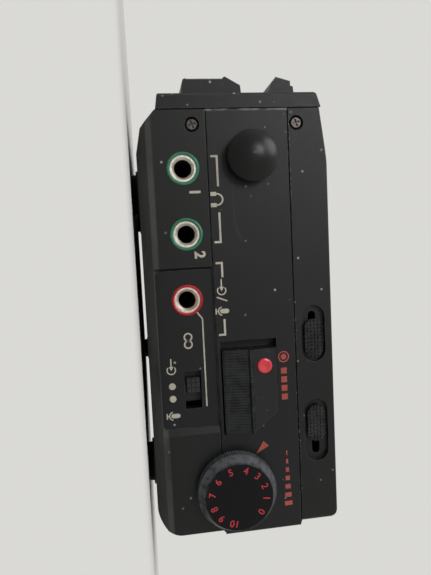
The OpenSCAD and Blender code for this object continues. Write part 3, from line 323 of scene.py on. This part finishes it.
def circuit_board(name, face_z):
    """Green lacquer over copper tracks, with the dark bodies of the parts above the face."""
    f = Finish(name, Specular_IOR_Level=0.5)
    tracks = f.add("ShaderNodeTexBrick", {"Vector": f.place, "Scale": 90.0, "Mortar Size": 0.03}, offset=0.37)
    lacquer = f.mix(f.ramp(tracks.outputs["Fac"], 0.3, 0.7), (0.03, 0.13, 0.05), (0.10, 0.26, 0.10))
    solder = f.specks(2.5 * MM, 0.5 * MM, 0.7)
    lacquer = f.mix(solder, lacquer, (0.55, 0.56, 0.58))
    above = f.ramp(f.axis(2), face_z + 0.02 * MM, face_z + 0.1 * MM)
    parts = f.mix(f.ramp(f.noise(60, 1), 0.45, 0.55), (0.02, 0.02, 0.022), (0.03, 0.05, 0.16))
    f.set("Base Color", f.mix(above, lacquer, parts))
    f.set("Roughness", f.ramp(f.noise(500, 2), 0.3, 0.7, 0.28, 0.45))
    f.relief(f.noise(1800, 2), 0.01 * MM, 0.1 * MM)
    return f


# ---------------------------------------------------------------- wear and painted light in known places

def worn_bevel(f, centre):
    """Scuffs round the dial's bevel, outside its flat face. The dial turns about X."""
    y = f.math("SUBTRACT", f.axis(1), centre.y)
    z = f.math("SUBTRACT", f.axis(2), centre.z)
    radius = f.math("POWER", f.math("ADD", f.times(y, y), f.times(z, z)), 0.5)
    bevel = f.ramp(radius, DIAL_FACE - 0.1 * MM, DIAL_FACE + 0.1 * MM)
    patchy = f.ramp(f.noise(800, 3), 0.3, 0.6, 0.35, 1.0)
    f.lay_over(f.times(bevel, patchy), (0.10, 0.106, 0.116))


def worn_frame(f):
    """A bright line along the frame's front edge: paint rubbed through, and a painted highlight of that lit
    edge.
    """
    edge = f.ramp(f.axis(1), FRONT_Y + 0.75 * MM, FRONT_Y + 0.3 * MM)
    patchy = f.ramp(f.noise(700, 3, (1, 1, 0.5)), 0.36, 0.55, 0.15, 0.9)
    # painted highlight: this bright grey also stands in for light caught by the frame's front edge
    f.lay_over(f.times(edge, patchy), shade(CASE_BLACK, 40))


def chipped_seam(f):
    """Pale chips along the upper edge of the frame, where the top shell meets it."""
    near = f.ramp(f.math("ABSOLUTE", f.math("SUBTRACT", f.axis(2), SEAM_HIGH)), 0.32 * MM, 0.1 * MM)
    stretches = f.ramp(f.noise(90, 2), 0.48, 0.6, 0.1, 1.0)
    chips = f.times(f.ramp(f.noise(1500, 2), 0.56, 0.64), stretches)
    f.lay_over(f.times(near, chips), (0.2, 0.2, 0.19))


def scuffed_foot(f):
    """Grey patches on the lowest part of the case: rub marks where it is put down and slid about, and a
    painted reflection of the pale floor on its lower bevels.
    """
    lowest = f.ramp(f.axis(2), BASE_Z + 3.9 * MM, BASE_Z + 3.3 * MM)
    patchy = f.ramp(f.noise(150, 4, (1, 0.4, 1)), 0.3, 0.6, 0.45, 1.0)
    # painted reflection: the lighter grey also stands for the floor mirrored in the lower bevels
    f.lay_over(f.times(lowest, patchy), (0.048, 0.049, 0.048))


# ---------------------------------------------------------------- finish of every CAD node

CASE_BLACK = (0.0050, 0.0053, 0.0054)
SATIN_BLACK = (0.0046, 0.0052, 0.0056)

case = plastic("case_black", CASE_BLACK, 1, depth=0.010, rounding=0.16, wear=0.55, dust=0.3)
chipped_seam(case)
scuffed_foot(case)
band = plastic("frame_black", SATIN_BLACK, 2, rough=0.38, grain=5200, dust=0.35)
worn_frame(band)
chipped_seam(band)
panel = plastic("panel_black", SATIN_BLACK, 3, rough=0.38, grain=5200, depth=0.007, rubbed_by=13, wear=0.8)
inner = plastic("inner_plastic", (0.02, 0.02, 0.021), 4, rough=0.6, specular=0.35, grain=3000, depth=0.02,
                rounding=0.2, rubbed_by=7.5, wear=0.2, dust=0.5)
keys = plastic("key_black", (0.0075, 0.0082, 0.0088), 5, grain=4600, depth=0.010, rounding=0.1,
               rubbed_by=6.5, wear=0.7)
switches = plastic("switch_black", (0.0100, 0.0105, 0.0110), 6, rough=0.5, specular=0.4, grain=3800,
                   depth=0.01, rounding=0.06, rubbed_by=9, wear=0.4, dust=0.2)
dial = plastic("dial_black", (0.0050, 0.0050, 0.0054), 7, rough=0.36, specular=0.14, grain=5200,
               rounding=0.08, rubbed_by=17, wear=0.9, dust=0.35)
worn_bevel(dial, middle("level_dial"))
stud = plastic("stud_black", (0.0025, 0.0025, 0.0028), 8, rough=0.33, specular=0.3, grain=2400, depth=0.003,
               rounding=0.2, rubbed_by=8, wear=0.2, dust=0.2, patches=0.15)
spindles = plastic("spindle_white", (0.62, 0.60, 0.53), 9, specular=0.5, grain=2600, rounding=0.1,
                   rubbed_by=2, wear=0.3, dust=0.3, patches=0.05)
erase = plastic("erase_black", (0.035, 0.035, 0.04), 10, rough=0.35, specular=0.5, grain=3000, depth=0.006,
                rounding=0.08, rubbed_by=9, dust=0.2, patches=0.1)
wheels = plastic("number_white", (0.72, 0.70, 0.63), 11, rough=0.45, specular=0.45, grain=3000, depth=0.006,
                 rounding=0.08, rubbed_by=2.25, wear=0.3, dust=0.3, patches=0.05)
steel = metal("steel", (0.56, 0.56, 0.57), 0.22, 1200, (1, 1, 0.05), depth=0.004, tarnish=0.15)
can = metal("control_can", (0.45, 0.46, 0.48), 0.38, 1500, (1, 1, 0.08))
deck = metal("deck_steel", (0.50, 0.51, 0.53), 0.34, 2400, (0.04, 1, 1), tarnish=0.25)
brass = metal("flywheel_brass", (0.66, 0.47, 0.20), 0.3, 1800, (1, 1, 0.1), depth=0.005,
              dark=(0.12, 0.07, 0.03))
spring = metal("spring_steel", (0.62, 0.62, 0.64), 0.28, 2200, (0.06, 1, 1), depth=0.004, tarnish=0.2)
screw = metal("black_screw", (0.095, 0.085, 0.08), 0.34, 2600, depth=0.01, tarnish=0.5,
              dark=(0.02, 0.015, 0.012))
plain_screw = metal("steel_screw", (0.42, 0.42, 0.43), 0.35, 2600, depth=0.01, tarnish=0.5,
                    dark=(0.08, 0.05, 0.03))
contact = metal("contact_metal", (0.74, 0.74, 0.72), 0.25, 1800, (1, 1, 0.1), depth=0.004,
                dark=(0.2, 0.22, 0.16))
head = metal("head_metal", (0.72, 0.72, 0.74), 0.14, 1400, (1, 1, 0.06), depth=0.002, tarnish=0.1)
end_socket = socket_metal("socket_metal", 0, high("headphone_socket_1").x)
line_socket = socket_metal("line_socket_metal", 0, high("line_in_socket").x)
back_socket = socket_metal("back_socket_metal", 1, high("line_out_socket").y)

FINISH = {
    "bottom_shell": case, "top_shell": case, "cassette_lid": case, "battery_door": case,
    "middle_frame": band, "front_panel": panel, "line_in_panel": panel,
    "battery_tray": inner, "well_frame": inner, "dc_inlet": inner,
    "battery_contacts": contact, "end_screws": screw, "base_screws": plain_screw,
    "rubber_feet": rubber("foot_rubber", (0.008, 0.008, 0.008), 0, 0.85, 2600, 0.03),
    "strap_stud_right": stud, "strap_stud_left": stud,
    "headphone_socket_1": end_socket, "headphone_socket_2": end_socket,
    "line_in_socket": line_socket, "line_out_socket": back_socket,
    "headphone_rings": gloss_plastic("ring_green", (0.035, 0.20, 0.115), 1, 0.25, 0.3),
    "line_in_ring": gloss_plastic("ring_red", (0.50, 0.012, 0.025), 2, 0.22, 0.4),
    "input_switch": switches, "tape_switch": switches, "speed_switch": switches,
    "record_key": keys, "rewind_key": keys, "forward_key": keys, "play_key": keys, "stop_key": keys,
    "pause_key": keys, "eject_button": keys, "counter_reset": keys,
    "record_dot": gloss_plastic("dot_red", (0.70, 0.035, 0.055), 3, 0.3, 0.35),
    "level_dial": dial, "level_shaft": steel, "level_control": can,
    "lid_window": clear_plastic("window_clear", (0.10, 0.105, 0.11), 0, 0.45),
    "meter_window": clear_plastic("meter_smoke", (0.05, 0.012, 0.012), 4, 0.7),
    "meter_lamps": gloss_plastic("lamp_red", (0.45, 0.03, 0.03), 5, 0.15, 0.6),
    "lid_hinge_pins": steel, "lid_spring": spring,
    "deck_plate": deck, "head_bridge": deck, "pinch_arm": deck,
    "supply_spindle": spindles, "takeup_spindle": spindles,
    "capstan": steel, "flywheel": brass, "motor_pulley": brass, "motor": can,
    "drive_belt": rubber("belt_rubber", (0.010, 0.010, 0.010), 1, 0.7, 3000, 0.01),
    "sound_head": head, "erase_head": erase,
    "pinch_roller": rubber("roller_rubber", (0.014, 0.013, 0.012), 2, 0.65, 3400, 0.01),
    "circuit_board": circuit_board("board_green", low("circuit_board").z + BOARD_THICKNESS),
    "counter_frame": can, **dict.fromkeys(COUNTER_WHEELS, wheels),
}

for name, obj in nodes.items():
    for place in obj.material_slots:
        place.material = FINISH[name].material


# ---------------------------------------------------------------- printing

INK = 0.02 * MM  # height of the ink over its surface
SUNK = 0.3  # share of that height by which the ink also goes into the surface
DISC_SIDES = 28
ARC_STEPS = 24


class Print:
    """Thin closed shapes of ink, collected into one mesh. They are drawn in mm on a plane."""

    def __init__(self, origin, right, up, thickness=INK):
        self.mesh = bmesh.new()
        self.top, self.bottom = thickness, -SUNK * thickness
        right, up = Vector(right), Vector(up)
        self.plane = matrix_of(right * MM, up * MM, right.cross(up), origin)

    def prism(self, outline):
        """A closed prism over the outline, given anticlockwise."""
        bottom = [self.mesh.verts.new(self.plane @ Vector((x, y, self.bottom))) for x, y in outline]
        top = [self.mesh.verts.new(self.plane @ Vector((x, y, self.top))) for x, y in outline]
        self.mesh.faces.new(top)
        self.mesh.faces.new(bottom[::-1])
        for i in range(len(outline)):
            j = (i + 1) % len(outline)
            self.mesh.faces.new((bottom[i], bottom[j], top[j], top[i]))

    def disc(self, x, y, r):
        self.prism(on_circle(x, y, r, steps(0, 360, DISC_SIDES)[:-1]))

    def bar(self, x0, y0, x1, y1, width):
        """A straight stroke with square ends."""
        along = Vector((x1 - x0, y1 - y0)).normalized() * width / 2
        dx, dy = along.y, -along.x
        self.prism([(x0 + dx, y0 + dy), (x1 + dx, y1 + dy), (x1 - dx, y1 - dy), (x0 - dx, y0 - dy)])

    def box(self, x0, y0, x1, y1):
        self.prism([(x0, y0), (x1, y0), (x1, y1), (x0, y1)])

    def arc(self, x, y, r, width, a0, a1):
        """Part of a ring from angle a0 to a1, in degrees. A whole ring is made of two halves."""
        angles = steps(a0, a1, ARC_STEPS)
        outside = on_circle(x, y, r + width / 2, angles)
        inside = on_circle(x, y, r - width / 2, angles)
        if a1 - a0 < 360:
            self.prism(outside + inside[::-1])
            return
        half = ARC_STEPS // 2
        self.prism(outside[:half + 1] + inside[:half + 1][::-1])
        self.prism(outside[half:] + inside[half:][::-1])

    def ring(self, x, y, r, width):
        self.arc(x, y, r, width, 0, 360)

    def arrow_head(self, x, y, length, width, angle=0):
        """A solid triangle centred on a point, with its tip towards the angle in degrees."""
        c, s = math.cos(math.radians(angle)), math.sin(math.radians(angle))
        corners = [(length / 2, 0), (-length / 2, width / 2), (-length / 2, -width / 2)]
        self.prism([(x + u * c - v * s, y + u * s + v * c) for u, v in corners])

    def digits(self, text, x, y, height, angle=0, weight=0.012, bend=None):
        """Plain numerals centred on a point, turned by the angle in degrees.

        With a bend, they are left flat round zero, and the bend puts their mesh in its place.
        """
        curve = bpy.data.curves.new("numerals", "FONT")
        curve.body, curve.align_x, curve.align_y = text, "CENTER", "CENTER"
        curve.size, curve.offset, curve.extrude = 1.0, weight, 0.5
        curve.resolution_u = 4
        made = placed("numerals", curve)
        shape = bpy.data.meshes.new_from_object(made.evaluated_get(bpy.context.evaluated_depsgraph_get()))
        bpy.data.objects.remove(made)
        bpy.data.curves.remove(curve)
        part = bmesh.new()
        part.from_mesh(shape)
        bpy.data.meshes.remove(shape)
        bmesh.ops.remove_doubles(part, verts=part.verts, dist=1e-5)
        xs = [v.co.x for v in part.verts]
        ys = [v.co.y for v in part.verts]
        scale = height / (max(ys) - min(ys))
        c, s = math.cos(math.radians(angle)), math.sin(math.radians(angle))
        for v in part.verts:
            u = (v.co.x - (max(xs) + min(xs)) / 2) * scale
            w = (v.co.y - (max(ys) + min(ys)) / 2) * scale
            rise = self.top if v.co.z > 0 else self.bottom
            if bend:
                v.co = (u, w, rise)
            else:
                v.co = self.plane @ Vector((x + u * c - w * s, y + u * s + w * c, rise))
        if bend:
            bend(part)
        copy = bpy.data.meshes.new("numerals")
        part.to_mesh(copy)
        part.free()
        self.mesh.from_mesh(copy)
        bpy.data.meshes.remove(copy)

    def piece(self, name, finish, body, slot):
        """The finished print, which rides on a body. Its slot is not used."""
        bmesh.ops.recalc_face_normals(self.mesh, faces=self.mesh.faces)
        made = placed_mesh(name, self.mesh, finish.material)
        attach(made, body)


def steps(a0, a1, n):
    """n + 1 even angles from a0 to a1, given in degrees and returned in radians."""
    return [math.radians(a0 + (a1 - a0) * i / n) for i in range(n + 1)]


def on_circle(x, y, r, angles):
    return [(x + r * math.cos(a), y + r * math.sin(a)) for a in angles]


cream = ink("print_cream", (0.50, 0.47, 0.39), 1)
red = ink("print_red", (0.42, 0.085, 0.07), 2)
numeral_red = ink("numeral_red", (0.50, 0.035, 0.05), 3)
black = ink("print_black", (0.015, 0.015, 0.016), 4)


def headphones(art, x, y, size):
    """Head band with its two ear pads, upright."""
    r = 0.42 * size
    art.arc(x, y, r, 0.12 * size, -6, 186)
    for side in (-1, 1):
        art.box(x + side * r - 0.15 * size, y - 0.5 * size, x + side * r + 0.15 * size, y - 0.06 * size)


def microphone(art, x, y, size):
    """Capsule in a cradle, on its stand."""
    r = 0.17 * size
    top = on_circle(x, y + 0.33 * size, r, steps(0, 180, 10))
    bottom = on_circle(x, y - 0.02 * size, r, steps(180, 360, 10))
    art.prism(top + bottom)
    art.arc(x, y, 0.31 * size, 0.09 * size, 190, 350)
    art.bar(x, y - 0.36 * size, x, y - 0.44 * size, 0.1 * size)
    art.bar(x - 0.22 * size, y - 0.49 * size, x + 0.22 * size, y - 0.49 * size, 0.1 * size)


def inward_arrow(art, x, y, size):
    """An arrow into a round opening, for a line input."""
    art.arc(x + 0.34 * size, y, 0.4 * size, 0.11 * size, -130, 130)
    art.bar(x - 0.75 * size, y, x + 0.02 * size, y, 0.12 * size)
    art.arrow_head(x + 0.2 * size, y, 0.4 * size, 0.46 * size)


def end_print(node):
    """Marks on the end face of a node, drawn from the front edge backwards and from their zero upwards."""
    return Print((high(node).x, FRONT_Y, MARKS_Z), (0, 1, 0), (0, 0, 1))


def bracket(art, x0, x1, y, gap0, gap1):
    """A rule over a pair of fittings, broken for the icon in its middle, with its ends turned down."""
    width, drop = 0.42, 1.1
    art.box(x0, y, gap0, y + width)
    art.box(gap1, y, x1, y + width)
    art.box(x0, y - drop, x0 + width, y)
    art.box(x1 - width, y - drop, x1, y)


def shell_marks():
    """Numbers beside the two headphone sockets."""
    art = end_print("bottom_shell")
    art.digits("1", 16.7, 8.5, 2.3, weight=0.035)
    art.digits("2", 29.5, 8.9, 2.3, weight=0.035)
    art.piece("socket_numerals", cream, "housing", "number_white")


def frame_marks():
    """Brackets with icons: headphones over their sockets, then line or microphone over the input."""
    art = end_print("middle_frame")
    rule, icons = 13.1, 13.0
    bracket(art, 9.4, 27.3, rule, 15.7, 21.0)
    headphones(art, 18.35, icons, 2.7)
    bracket(art, 31.2, 46.7, rule, 34.4, 43.2)
    inward_arrow(art, 36.4, icons, 2.2)
    art.bar(38.5, icons - 1.1, 39.4, icons + 1.1, 0.3)
    microphone(art, 41.5, icons, 2.8)
    art.piece("socket_marks", cream, "housing", "number_white")


def line_in_marks():
    """Linked rings beside the socket, icons and dots under the switch, and a line from socket to switch."""
    art = end_print("line_in_panel")
    for x in (46.6, 48.15):
        art.ring(x, 5.5, 0.78, 0.32)
    inward_arrow(art, 52.6, 1.62, 2.2)
    microphone(art, 63.2, 1.6, 2.8)
    for x in (56.84, 59.52):
        art.disc(x, 1.66, 0.72)
    art.bar(41.1, 7.42, 42.9, 8.75, 0.3)
    art.box(42.9, 8.6, 61.7, 8.9)
    art.piece("line_in_marks", cream, "housing", "number_white")


def red_marks():
    """Recording sign, a row of squares, a wedge of growing bars, and the pointer for the dial's numerals."""
    art = end_print("middle_frame")
    x, y, pitch = 52.2, 25.7, 1.9
    art.disc(x, y, 0.62)
    art.ring(x, y, 1.1, 0.24)
    for i in range(4):
        art.box(54.6 + pitch * i, 25.0, 55.9 + pitch * i, 26.3)
    for i in range(7):
        half = 0.12 * (i + 1)
        art.box(73 + pitch * i, 25.6 - half, 74 + pitch * i, 25.6 + half)
    art.prism([(70.3, 20.5), (72.9, 18.9), (71.5, 21.7)])
    art.piece("level_marks", red, "housing", "dot_red")


def dial_numerals():
    """0 to 10 round the face of the dial, with their tops outwards."""
    centre = middle("level_dial")
    art = Print((high("level_dial").x, centre.y, centre.z), (0, 0, 1), (0, -1, 0))
    radius = 5.75
    turns = (-39, -8, 19, 46, 74, 107, 139, 169, 200, 226, 255)
    for number, turn in enumerate(turns):
        a = math.radians(turn)
        art.digits(str(number), radius * math.cos(a), radius * math.sin(a), 1.5, angle=turn - 90)
    art.piece("dial_numerals", numeral_red, "level_dial", "lamp_red")


def key_symbols():
    """The symbols on the front panel, in a row over the keys and beside the eject button."""
    over_keys = 2.6
    art = Print((0, PANEL_Y, high("play_key").z + over_keys * MM), (1, 0, 0), (0, 0, 1))

    def at(node):
        return middle(node).x / MM

    for side in (-0.95, 0.95):
        art.arrow_head(at("rewind_key") + side, 0, 1.8, 2.1, 180)
        art.arrow_head(at("forward_key") + side, 0, 1.8, 2.1)
        art.box(at("pause_key") + side * 0.75 - 0.4, -1.05, at("pause_key") + side * 0.75 + 0.4, 1.05)
    art.arrow_head(at("play_key"), 0, 2.3, 2.4)
    art.box(at("stop_key") - 1, -1, at("stop_key") + 1, 1)
    x = low("eject_button").x / MM - 4
    y = (middle("eject_button").z - high("play_key").z) / MM - over_keys
    art.arrow_head(x, y + 0.5, 1.5, 2.6, 90)
    art.box(x - 1.3, y - 1.1, x + 1.3, y - 0.6)
    art.piece("key_symbols", cream, "housing", "number_white")


def wheel_digits(node):
    """The numerals 0 to 9 round a counter wheel, bent onto its rim."""
    a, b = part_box(node)
    centre, radius = (a + b) / 2, (b.z - a.z) / 2
    art = Print(centre, (1, 0, 0), (0, 1, 0))
    cuts = steps(-80, 80, 8)  # across the numeral, every 0.35 mm, so that it bends

    def onto_rim(turn):
        def bend(part):
            for cut in cuts:
                everything = part.verts[:] + part.edges[:] + part.faces[:]
                bmesh.ops.bisect_plane(part, geom=everything, plane_co=(0, cut, 0), plane_no=(0, 1, 0))
            for v in part.verts:
                angle = turn + v.co.y * MM / radius
                r = radius + v.co.z
                v.co = centre + Vector((v.co.x * MM, r * math.sin(angle), r * math.cos(angle)))
        return bend

    for digit in range(10):
        art.digits(str(digit), 0, 0, 2.9, weight=0.015, bend=onto_rim(math.radians(36 * digit)))
    art.piece(node + "_digits", black, node, "erase_black")


def meter_scale():
    """A line behind the meter's window, with a tick and a number for each lamp. Its ink is thin."""
    window = middle("meter_window")
    art = Print((window.x, high("meter_window").y, high("top_shell").z), (1, 0, 0), (0, 1, 0), 0.6 * INK)
    first, last = low("meter_lamps").x, high("meter_lamps").x
    pitch = 5
    for i in range(5):
        x = ((first + last) / 2 - window.x) / MM + pitch * (i - 2)
        art.box(x - 0.15, 1.0, x + 0.15, 2.0)
        art.digits(str(i + 1), x, 3.3, 1.7)
    art.box(-10.6, 0.75, 10.6, 1.0)
    art.piece("meter_scale", cream, "housing", "number_white")


shell_marks()
frame_marks()
line_in_marks()
red_marks()
dial_numerals()
key_symbols()
for wheel in COUNTER_WHEELS:
    wheel_digits(wheel)
meter_scale()


# ---------------------------------------------------------------- floor, light and camera

BACKDROP = (0.70, 0.695, 0.67)
GLOW_FROM = (-0.55, -0.35, 0.76)  # where the world's own light is strongest
FLOOR_RADIUS = 3.0
FLOOR_FADES = (0.1, 0.14)  # from here to here, away from the object, the floor turns into the backdrop
LAMPS = (  # name, place, size, power
    ("key_lamp", (0.35, -0.55, 1.05), 0.8, 5.5),
    ("end_lamp", (1.0, -0.45, 0.55), 0.5, 4.5),
    ("top_lamp", (-0.5, 0.1, 1.1), 1.0, 2.5),
    ("fill_lamp", (-1.0, 0.6, 0.5), 0.8, 1.2),
)
LAMPS_AIM = Vector((0, 0, 0.02))
EYE = Vector((END_X + 104.7 * MM, FRONT_Y + 27.3 * MM, 1.58 * MM))
AIM = Vector((END_X, FRONT_Y + 36.45 * MM, 16.14 * MM))
ROLL = 2.86  # degrees
LENS = 31.93  # mm, for a sensor 36 mm wide


def make_floor():
    """A wide round sheet of pale card. Far from the object it takes the backdrop's tone, so no rim shows."""
    card = Finish("floor_card")
    fibres = card.noise(9000, 3)
    tone = card.mix(card.ramp(fibres, 0.3, 0.7), (0.585, 0.578, 0.555), (0.605, 0.597, 0.574))
    dullness = card.ramp(fibres, 0.3, 0.7, 0.3, 0.5)
    paper = card.add("ShaderNodeBsdfDiffuse", {"Color": tone, "Roughness": dullness})
    plain = card.add("ShaderNodeEmission", {"Color": BACKDROP, "Strength": 1.0})
    distance = card.add("ShaderNodeVectorMath", {0: card.place}, operation="LENGTH").outputs["Value"]
    seen = card.add("ShaderNodeLightPath").outputs["Is Camera Ray"]
    far = card.times(card.ramp(distance, *FLOOR_FADES), seen)
    blend = card.add("ShaderNodeMixShader", {0: far, 1: paper.outputs[0], 2: plain.outputs[0]})
    card.tree.nodes.remove(card.shader)
    card.plug(card.output.inputs[0], blend.outputs[0])
    sheet = bmesh.new()
    bmesh.ops.create_circle(sheet, cap_ends=True, segments=128, radius=FLOOR_RADIUS)
    made = placed_mesh("floor", sheet, card.material)


def make_world():
    """Pale studio: a plain backdrop wherever it is seen or mirrored, and light mostly from one side."""
    world = bpy.data.worlds.new("studio")
    bpy.context.scene.world = world
    sky = Tree(world)
    rays = sky.add("ShaderNodeLightPath").outputs
    seen = rays["Is Camera Ray"]
    for kind in ("Is Glossy Ray", "Is Transmission Ray"):
        seen = sky.math("MAXIMUM", seen, rays[kind])
    direction = sky.add("ShaderNodeTexCoord").outputs["Generated"]
    towards = sky.add("ShaderNodeVectorMath", {0: direction, 1: GLOW_FROM}, operation="DOT_PRODUCT")
    level = sky.ramp(towards.outputs["Value"], -1.0, 1.0, 0.2, 0.5, curve="LINEAR")
    glow = sky.add("ShaderNodeBackground", {"Color": (1.0, 0.99, 0.97), "Strength": level})
    backdrop = sky.add("ShaderNodeBackground", {"Color": BACKDROP, "Strength": 1.0})
    choice = sky.add("ShaderNodeMixShader", {0: seen, 1: glow.outputs[0], 2: backdrop.outputs[0]})
    sky.add("ShaderNodeOutputWorld", {"Surface": choice.outputs[0]})


def make_lamp(name, place, size, power):
    """A round soft lamp that looks at the middle of the case."""
    data = bpy.data.lights.new(name, "AREA")
    data.shape, data.size, data.energy = "DISK", size, power
    lamp = placed(name, data)
    lamp.location = place
    lamp.rotation_mode = "QUATERNION"
    lamp.rotation_quaternion = (LAMPS_AIM - Vector(place)).to_track_quat("-Z", "Y")


def make_camera():
    """Close in front of the socket end, level with the case's base, with the keys at the picture's top."""
    data = bpy.data.cameras.new("camera")
    data.sensor_width, data.lens, data.clip_start, data.clip_end = 36, LENS, 0.002, 20
    camera = placed("camera", data)
    forward = (AIM - EYE).normalized()
    up = Vector((0, -1, 0))
    up = (up - up.dot(forward) * forward).normalized()
    up = Matrix.Rotation(math.radians(ROLL), 3, forward) @ up
    camera.matrix_world = matrix_of(forward.cross(up), up, -forward, EYE)
    bpy.context.scene.camera = camera


make_floor()
make_world()
for lamp in LAMPS:
    make_lamp(*lamp)
make_camera()

bpy.context.scene.view_settings.view_transform = "Standard"
